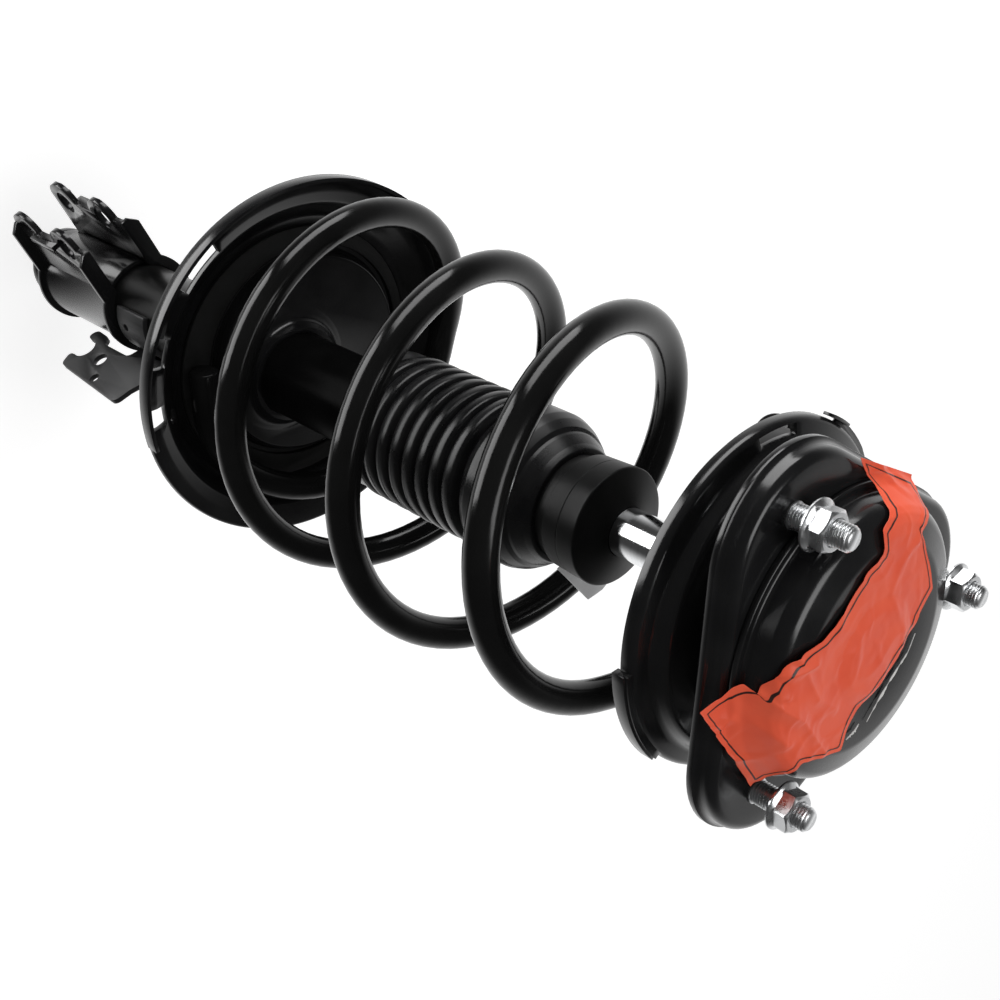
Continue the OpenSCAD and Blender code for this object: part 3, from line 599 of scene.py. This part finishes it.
def lobed(inset, arc=22, flat=14):
    """Outline of the plate, drawn in by an amount, as points that stay paired at every inset."""
    points = []
    r = LOBE_R - inset
    for a in STUD_ANGLES:
        here, there, side = polar(LOBE_RING, a), polar(LOBE_RING, a + 120), polar(r, a + 60)
        for k in range(arc + 1):
            d = polar(r, a - 60 + 120 * k / arc)
            points.append((here[0] + d[0], here[1] + d[1]))
        start = (here[0] + side[0], here[1] + side[1])
        stop = (there[0] + side[0], there[1] + side[1])
        points += [mix_spot(start, stop, k / flat) for k in range(1, flat)]
    return points


def plate_shape():
    """Stamped plate: flat top, rounded rim, skirt and turned-out lip, round an open middle."""
    rim, under = lobed(PLATE_BEND), lobed(PLATE_SKIRT[-1][0])
    hole = [(x * PLATE_HOLE_R / math.hypot(x, y), y * PLATE_HOLE_R / math.hypot(x, y))
            for x, y in rim]
    rows = []
    for i in range(9):
        rows.append([(*mix_spot(h, p, i / 8), 0.0) for h, p in zip(hole, rim)])
    for k in range(1, 7):
        d, rise = polar(PLATE_BEND, 90 - 90 * k / 6)
        rows.append([(x, y, rise - PLATE_BEND) for x, y in lobed(PLATE_BEND - d)])
    for inset, z in PLATE_SKIRT:
        rows.append([(x, y, z) for x, y in lobed(inset)])
    for i in range(1, 7):
        rows.append([(*mix_spot(p, h, i / 6), -PLATE_T) for h, p in zip(hole, under)])
    return loft(rows, wrap=True)


def cap_shape():
    """Domed cap of 2.5 mm sheet with a flat foot on the plate."""
    path = [(60, 0.0), (53.5, 0.0), (53.5, 13.5), (42, 16.5), (16, 16.5)]
    return lathe(sheet_profile(path, -2.5, [3, 7, 9], 7, 0.8), 160)


make("plate_stamped", plate_shape(), "body_side", ENAMEL, ("mount_plate",),
     sharp=50)
make("cap_dome", cap_shape(), "body_side", ENAMEL, ("mount_cap",))


# ---------------------------------------------------------------- label

# the label's two long edges, seen from above
LABEL_LEFT = [(35.3, 62.2), (35.3, 48.9), (29.1, 46.5), (20.2, 47), (16.2, 38.3), (6.5, 39),
              (-6.9, 34.9), (-15, 33.5), (-22.6, 33.8), (-29, 36.3), (-37.1, 37.6),
              (-40.3, 36.8), (-44, 34.6), (-47.5, 31.8), (-50.4, 29.6), (-50.2, 33.4),
              (-52.5, 33.4), (-58.4, 32.7), (-68.3, 34.7)]
LABEL_RIGHT = [(58, 30), (51.5, 25.8), (38, 26.6), (38, 6.1), (37.2, -5.4), (31.2, -7.7),
               (22.1, -12), (12.9, -13.7), (1, -15.8), (-9.9, -17.6), (-16.5, -17.8),
               (-23.1, -20.5), (-30.1, -26.9), (-35, -22.1), (-48.9, -10.3), (-61.7, -22.9)]

# each crease: two ends, height and width
CREASES = [(-44, 34.6, -47.5, 24.7, 1.5, 1.8), (-42.7, 34.8, -28.8, 28.8, 1.6, 2.2),
           (-50, 30.1, -47.7, 22.3, 2.2, 2.4), (-47.7, 22.3, -42.5, 10.4, 2.0, 2.4),
           (-42.5, 10.4, -38.3, -16, 1.5, 2.2), (-34.1, 36.4, -32.9, 11.2, 1.0, 1.8),
           (-32.9, 11.2, -26.4, -4.1, 0.8, 1.8), (-44.6, 25.3, -49.1, 27.2, 1.3, 1.6),
           (-55.3, 17.8, -51.5, 4.2, 1.5, 2.2)]

# radius, and the lowest height at which the label clears the cap and the plate there
CAP_COVER = [(0, 21.4), (17, 21.2), (22, 19.7), (42, 19.8), (46, 19.5), (50, 18.7),
             (53, 17.3), (55, 15.2), (56.6, 12.0), (60, 6.2), (64, 2.4), (76, 0.7),
             (84, 0.4), (87, -3), (89, -8), (96, -14)]

# middle lines of thin pale slivers that lie on the cap beside the label, and their noise
SLIVER_LINES = [([(22.4, -16.5), (16.4, -21.1), (5.4, -23.4), (-3.9, -26), (-13.7, -29.6)], 2.3),
          ([(-17.6, -25.7), (-20.5, -26.4), (-25.9, -25.4)], 8.1)]


def spread(points, count):
    """Points at even steps along a line."""
    steps = np.linalg.norm(np.diff(points, axis=0), axis=1)
    at = np.concatenate([[0], np.cumsum(steps)])
    want = np.linspace(0, at[-1], count)
    return np.stack([np.interp(want, at, points[:, k]) for k in range(2)], 1)


def along(points, count):
    """Points at even steps along a smooth curve through the given ones."""
    dense = spread(np.array(points, float), 400)
    kernel = np.hanning(11)
    kernel /= kernel.sum()
    head, tail = 2 * dense[0] - dense[5:0:-1], 2 * dense[-1] - dense[-2:-7:-1]
    padded = np.concatenate([head, dense, tail])
    eased = [np.convolve(padded[:, k], kernel, "valid") for k in range(2)]
    return spread(np.stack(eased, 1), count)


def cap_cover(x, y):
    """Lowest height at which the label clears the cap and the plate."""
    radii, heights = zip(*CAP_COVER)
    return float(np.interp(math.hypot(x, y), radii, heights))


def ridge(x, y, pitch, seed, sharp):
    """Height of a fold, 1 along its crest, from lines where a noise changes sign."""
    value = noise.noise(Vector((x / pitch, y / pitch, seed)))
    return max(0.0, 1 - sharp * abs(value))


def crease(x, y, ax, ay, bx, by, height, width):
    """Height of a sharp fold along the line from a to b."""
    run = (bx - ax) ** 2 + (by - ay) ** 2
    t = min(1.0, max(0.0, ((x - ax) * (bx - ax) + (y - ay) * (by - ay)) / run))
    gap = math.hypot(x - mix(ax, bx, t), y - mix(ay, by, t))
    return height * max(0.0, 1 - gap / (2 * width)) ** 1.6


def label_height(x, y):
    """Height of the crumpled label over the cap and the plate."""
    broad = noise.fractal(Vector((x * 0.055, y * 0.055, 1.7)), 1.0, 2.0, 3)
    edge = max(0.0, (math.hypot(x, y) - 40) / 20)
    folds = ridge(x + 0.5 * y, y - 0.5 * x, 26, 4.4, 5) + 0.6 * ridge(x, y, 15, 9.1, 4.5)
    lift = 0.45 + 0.5 * broad + (0.45 + 0.6 * edge) * folds
    lift += max(crease(x, y, *fold) for fold in CREASES)
    return cap_cover(x, y) + max(0.3, lift)


def label_shape(rows=200, columns=72, thickness=0.16):
    """The label as a thin closed sheet."""
    left, right = along(LABEL_LEFT, rows), along(LABEL_RIGHT, rows)
    shares = [j / (columns - 1) for j in range(columns)]
    spots = [left[i] * (1 - s) + right[i] * s for i in range(rows) for s in shares]
    top = [(x, y, label_height(x, y)) for x, y in spots]
    low = [(x, y, z - thickness) for x, y, z in top]
    base = rows * columns
    faces = []
    for i in range(rows - 1):
        for j in range(columns - 1):
            a, b = i * columns + j, (i + 1) * columns + j
            faces.append((a, a + 1, b + 1, b))
            faces.append((base + a, base + b, base + b + 1, base + a + 1))
    rim = [(i * columns + j, (i + 1) * columns + j) for i in range(rows - 1)
           for j in (0, columns - 1)]
    rim += [(i * columns + j, i * columns + j + 1) for j in range(columns - 1)
            for i in (0, rows - 1)]
    faces += [(a, b, base + b, base + a) for a, b in rim]
    return top + low, faces


def label_spot(near, far, row, inset):
    """Point of the label a given distance in from one of its long edges."""
    a, b = [np.array([np.interp(row, range(len(edge)), edge[:, k]) for k in range(2)])
            for edge in (near, far)]
    x, y = a + (b - a) * (inset / np.linalg.norm(b - a))
    return x, y, label_height(x, y)


def border_shape(rows=340, inset=2.6, width=0.8, lift=0.13):
    """Thin printed line that runs round the label inside its edge."""
    left, right = along(LABEL_LEFT, rows), along(LABEL_RIGHT, rows)
    first, last = 6, rows - 7

    def lengthwise(near, far, distance):
        return [label_spot(near, far, row, distance) for row in range(first, last + 1)]

    def crosswise(row):
        a, b = label_spot(left, right, row, inset), label_spot(right, left, row, inset)
        spots = [mix_spot(a, b, i / 120) for i in range(121)]
        return [(x, y, label_height(x, y)) for x, y in spots]

    lines = [(lengthwise(a, b, inset), lengthwise(a, b, inset + width))
             for a, b in ((left, right), (right, left))]
    lines += [(crosswise(row), crosswise(row + 1.2)) for row in (first, last)]
    strips = []
    for one, other in lines:
        verts = [(x, y, z + lift) for pair in zip(one, other) for x, y, z in pair]
        strips.append((verts, [(c, c + 1, c + 3, c + 2) for c in range(0, len(verts) - 2, 2)]))
    return join(*strips)


def sliver_shape(points, seed, count=70):
    """Thin pale sliver with ragged sides that lies on the cap beside the label."""
    line = along(points, count)
    verts, faces = [], []
    for i, (x, y) in enumerate(line):
        run = line[min(i + 1, count - 1)] - line[max(i - 1, 0)]
        run = run / np.linalg.norm(run)
        ragged = max(0.0, 0.35 + noise.noise(Vector((i * 0.23, seed, 0.7))))
        wide = 0.25 + 1.5 * ragged * math.sin(math.pi * (i + 0.5) / count)
        for side in (wide, -0.4 * wide):
            p, q = x - run[1] * side, y + run[0] * side
            for rise in (0.35, 0.12):
                verts.append((p, q, cap_cover(p, q) + rise))
    end = 4 * (count - 1)
    for c in range(0, end, 4):
        faces += [(c, c + 4, c + 6, c + 2), (c + 1, c + 3, c + 7, c + 5)]
        faces += [(c, c + 1, c + 5, c + 4), (c + 2, c + 6, c + 7, c + 3)]
    faces += [(0, 2, 3, 1), (end, end + 1, end + 3, end + 2)]
    return verts, faces


scraps = [sliver_shape(*scrap) for scrap in SLIVER_LINES]
make("label_film", label_shape(), "body_side", LABEL, ("label",), sharp=60)
# ragged pale slivers that lie on the cap beside the label
make("cap_slivers", join(*scraps), "body_side", SLIVER_FINISH)
make("label_line", border_shape(), "body_side", INK)


# ---------------------------------------------------------------- pieces from their solids

# each piece: node, finish, slot and the rounding of its edges
SOFTENED = {
    "body_side": [("dust_cap", RUBBER, "rubber", 0.4),
                  ("mount_base", ENAMEL, "black_enamel", 0.6),
                  ("rubber_bush", RUBBER, "rubber", 0.6)],
    "rod_side": [("upper_spring_seat", ENAMEL, "black_enamel", 0.8),
                 ("upper_insulator", RUBBER, "rubber", 1.0),
                 ("top_nut", ZINC, "zinc", 0.4),
                 ("top_washer", ZINC, "zinc", 0.3)],
    "wheel_side": [("strut_tube", TUBE, "black_enamel", 0.6),
                   ("base_cup", ENAMEL, "black_enamel", 0.5),
                   ("lower_spring_seat", ENAMEL, "black_enamel", 0.8),
                   ("lower_insulator", RUBBER, "rubber", 0.8),
                   ("knuckle_bracket", ENAMEL, "black_enamel", 0.8),
                   ("bracket_reinforcement", ENAMEL, "black_enamel", 0.8),
                   ("hose_bracket", SATIN, "black_enamel", 0.7),
                   ("gland_cap", ZINC, "zinc", 0.5)],
}
PLAIN = {
    "bearing_outer_race": BEARING, "bearing_balls": BEARING, "bearing_inner_race": BEARING,
    "bearing_cage": BRASS, "piston_rod": CHROME, "piston": MACHINED, "piston_band": BAND,
    "piston_nut": ZINC, "rebound_stop": RUBBER, "inner_cylinder": MACHINED,
    "foot_valve": MACHINED, "rod_guide": MACHINED, "rod_seal": RUBBER,
}

for body_name, entries in SOFTENED.items():
    for node_name, finish, slot_name, width in entries:
        soften(node_name, body_name, finish, width)
for node_name, finish in PLAIN.items():
    slots = NODES[node_name].data.materials
    slots.clear()
    slots.append(finish)


# ---------------------------------------------------------------- stage, light and camera

# the camera's place and axes, in metres; the lamps are placed by the same axes
EYE = Vector((-0.23173, 0.45939, 0.26472))
RIGHT = Vector((0.65203, -0.33298, 0.68116))
UP = Vector((0.68403, 0.64587, -0.33905))
BACK = Vector((-0.32704, 0.68701, 0.64889))
LENS, SENSOR = 53.98, 36
MIDDLE = Vector((0, 0, -0.27))
FLOOR_Z, FLOOR_HALF = -0.6, 14.0
WHITE = (1, 1, 1, 1)


def set_camera():
    """Camera at the fixed place, which looks along its own axis."""
    data = bpy.data.cameras.new("camera")
    data.sensor_width = SENSOR
    data.lens = LENS
    data.clip_start, data.clip_end = 0.01, 50
    obj = add_object("camera", data)
    rows = [[RIGHT[i], UP[i], BACK[i], EYE[i]] for i in range(3)] + [[0, 0, 0, 1]]
    obj.matrix_world = Matrix(rows)
    bpy.context.scene.camera = obj


def add_softbox(name, direction, distance, size, power):
    """Square lamp that faces the strut's middle, in a direction along the camera's axes."""
    data = bpy.data.lights.new(name, "AREA")
    data.shape = "RECTANGLE"
    data.size, data.size_y = size
    data.energy = power
    obj = add_object(name, data)
    way = (RIGHT * direction[0] + UP * direction[1] + BACK * direction[2]).normalized()
    obj.location = MIDDLE + way * distance
    obj.rotation_mode = "QUATERNION"
    obj.rotation_quaternion = way.to_track_quat("Z", "Y")


def set_world():
    """White backdrop, which fades in reflections towards the lamps' side, and dim fill light."""
    world = bpy.data.worlds.new("studio")
    bpy.context.scene.world = world
    world.use_nodes = True
    tree = world.node_tree
    path = tree.nodes.new("ShaderNodeLightPath")
    where = tree.nodes.new("ShaderNodeTexCoord")
    dot = tree.nodes.new("ShaderNodeVectorMath")
    dot.operation = "DOT_PRODUCT"
    feed(tree, dot, {0: where.outputs["Generated"], 1: BACK})
    fade = add_range(tree, dot.outputs["Value"], (-0.75, 0.0), (1.0, 0.05), "SMOOTHSTEP")
    mirrored = add_math(tree, "MAXIMUM", path.outputs["Is Glossy Ray"],
                        path.outputs["Is Transmission Ray"])
    light = add_mix(tree, "FLOAT", mirrored, 0.4, fade)
    strength = add_mix(tree, "FLOAT", path.outputs["Is Camera Ray"], light, 1.0)
    feed(tree, tree.nodes["Background"], {"Color": WHITE, "Strength": strength})


def set_floor():
    """Wide pale floor, which isn't part of the object and doesn't show in reflections."""
    mat = bpy.data.materials.new("floor_paper")
    mat.use_nodes = True
    tree = mat.node_tree
    path = tree.nodes.new("ShaderNodeLightPath")
    feed(tree, tree.nodes["Principled BSDF"], {
        "Base Color": (0.86, 0.86, 0.86, 1),
        "Roughness": 0.9,
        "Specular IOR Level": 0.1,
        "Emission Color": WHITE,
        "Emission Strength": add_math(tree, "MULTIPLY", path.outputs["Is Camera Ray"], 0.6),
    })
    mesh = bpy.data.meshes.new("floor")
    corners = [(x * FLOOR_HALF, y * FLOOR_HALF, FLOOR_Z)
               for x, y in ((-1, -1), (1, -1), (1, 1), (-1, 1))]
    mesh.from_pydata(corners, [], [(0, 1, 2, 3)])
    mesh.materials.append(mat)
    obj = add_object("floor", mesh)
    obj.visible_glossy = False


set_camera()
set_world()
set_floor()
add_softbox("key_left", (-1.0, 0.55, 0.25), 1.5, (1.3, 1.0), 23)
add_softbox("top", (0.1, 1.0, 0.35), 1.5, (1.2, 0.8), 16)
add_softbox("fill_right", (0.9, -0.3, 0.8), 1.8, (0.8, 0.8), 8)
bpy.context.scene.view_settings.view_transform = "Standard"
